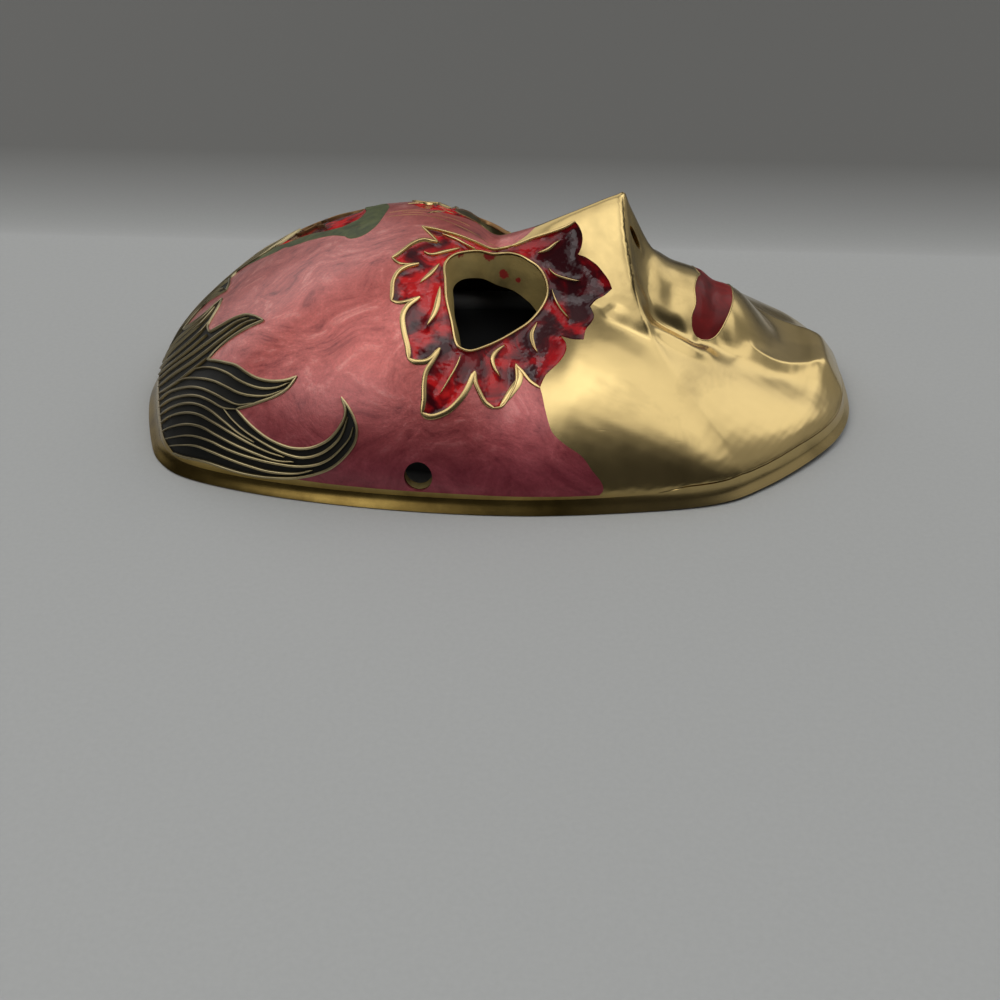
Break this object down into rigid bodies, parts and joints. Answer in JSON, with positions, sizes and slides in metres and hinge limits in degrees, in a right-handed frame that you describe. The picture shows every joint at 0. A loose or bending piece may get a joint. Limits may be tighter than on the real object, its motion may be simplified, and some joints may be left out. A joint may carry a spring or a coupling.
{
  "type": "brass mask",
  "caption": "Hollow cast brass carnival face mask with leaf wreaths round the eye holes, locks of hair at the forehead and coloured enamel, lying on its rim",
  "frame": {"origin": "Middle of the bounding box at its lowest height, in the plane of the rim that the mask lies on", "axes": "+X from the forehead end to the chin end, +Y to the mask's own left side, +Z out of the face, away from the rim plane"},
  "size_m": [0.165, 0.1112, 0.0488],
  "materials": {
    "brass": "polished and brushed bare brass on nose, cheeks, mouth and chin, rose, red, green and black enamel over the forehead, eye wreaths, lips and hair",
    "enamel_rose": "pearly rose enamel with brushed swirls, level with the brass, on the forehead, temples and cheeks",
    "enamel_red": "clear dark red enamel over brass, in the petals round the eyes and in the lips",
    "enamel_black": "matt black enamel between the strands of hair",
    "enamel_green": "grainy olive green enamel in the leaves on the forehead"
  },
  "bodies": {
    "root": {"mask": "brass"}
  },
  "joints": []
}
